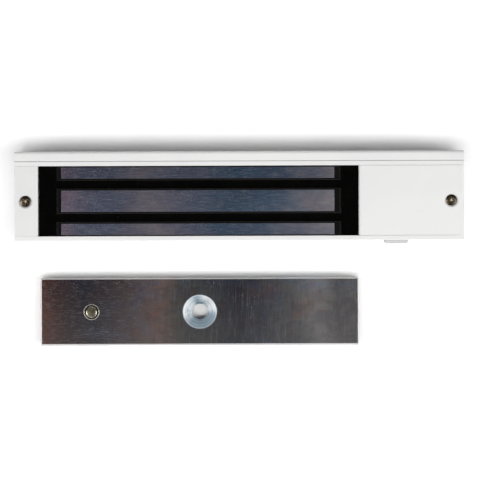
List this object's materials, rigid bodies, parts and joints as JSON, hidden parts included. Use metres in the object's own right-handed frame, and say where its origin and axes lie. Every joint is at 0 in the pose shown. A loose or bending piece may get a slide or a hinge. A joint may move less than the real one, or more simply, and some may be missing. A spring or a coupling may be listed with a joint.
{
  "type": "magnetic door lock",
  "caption": "Surface-mounted electromagnetic door lock: potted E-core magnet in a channel with mounting plate and wiring compartment, and a steel armature plate with a sprung release button.",
  "frame": {"origin": "under the middle of the whole layout, on the surface that the lock and its armature plate lie on", "axes": "+X along the lock towards the wiring compartment, +Y from the armature plate towards the lock's mounting plate, +Z out of the pole faces"},
  "size_m": [0.25, 0.109, 0.0255],
  "materials": {
    "white_paint": "satin white powder coat",
    "ground_steel": "ground and plated, dark reflections",
    "plated_steel": "zinc plated, clouded",
    "nickel": "nickel plated",
    "brass": "machined",
    "copper": "enamelled wire",
    "epoxy": "cast, smooth",
    "nylon": "moulded",
    "board_green": "solder mask",
    "terminal_green": "moulded",
    "relay_black": "moulded",
    "disc_blue": "dipped",
    "frosted": "frosted, translucent",
    "red_wire": "insulation",
    "black_wire": "insulation"
  },
  "bodies": {
    "lock_body": {"housing_channel": "white_paint", "wiring_cover_post": "brass", "end_cover_post": "brass", "left_body_bolt": "nickel", "right_body_bolt": "nickel", "magnet_core": "ground_steel", "core_screw_1": "nickel", "core_screw_2": "nickel", "core_screw_3": "nickel", "middle_pole_liner": "nylon", "upper_pole_liner": "nylon", "lower_pole_liner": "nylon", "coil_winding": "copper", "potting": "epoxy", "right_dam": "white_paint", "left_dam": "white_paint", "red_coil_lead": "red_wire", "black_coil_lead": "black_wire", "status_lens": "frosted", "circuit_board": "board_green", "board_spacer_1": "brass", "board_spacer_2": "brass", "board_screw_1": "nickel", "board_screw_2": "nickel", "terminal_block": "terminal_green", "terminal_screw_1": "nickel", "terminal_screw_2": "nickel", "terminal_screw_3": "nickel", "terminal_screw_4": "nickel", "terminal_screw_5": "nickel", "terminal_screw_6": "nickel", "status_relay": "relay_black", "surge_disc": "disc_blue", "voltage_jumper": "relay_black", "status_led": "frosted"},
    "mounting_plate": {"mounting_plate": "white_paint"},
    "wiring_cover": {"wiring_cover": "white_paint", "wiring_cover_screw": "nickel"},
    "end_cover": {"end_cover": "white_paint", "end_cover_screw": "nickel"},
    "armature": {"armature_plate": "plated_steel", "button_sleeve": "nickel", "button_spring": "nickel"},
    "release_button": {"release_button": "nickel"}
  },
  "joints": [
    {"name": "armature_swing", "type": "hinge", "parent": "lock_body", "child": "armature", "pos_m": [-0.02245, -0.00438, 0.01915], "axis": [-1, 0, 0], "range_deg": [0, 180]},
    {"name": "release_button_press", "type": "slide", "parent": "armature", "child": "release_button", "axis": [0, 0, -1], "range_m": [0, 0.0016], "stiffness_N_per_m": 1200, "deforming": ["button_spring"]},
    {"name": "wiring_cover_lift", "type": "slide", "parent": "lock_body", "child": "wiring_cover", "axis": [0, 0, 1], "range_m": [0, 0.04]},
    {"name": "end_cover_lift", "type": "slide", "parent": "lock_body", "child": "end_cover", "axis": [0, 0, 1], "range_m": [0, 0.04]},
    {"name": "mounting_plate_slide", "type": "slide", "parent": "lock_body", "child": "mounting_plate", "axis": [0, 1, 0], "range_m": [0, 0.03]}
  ]
}
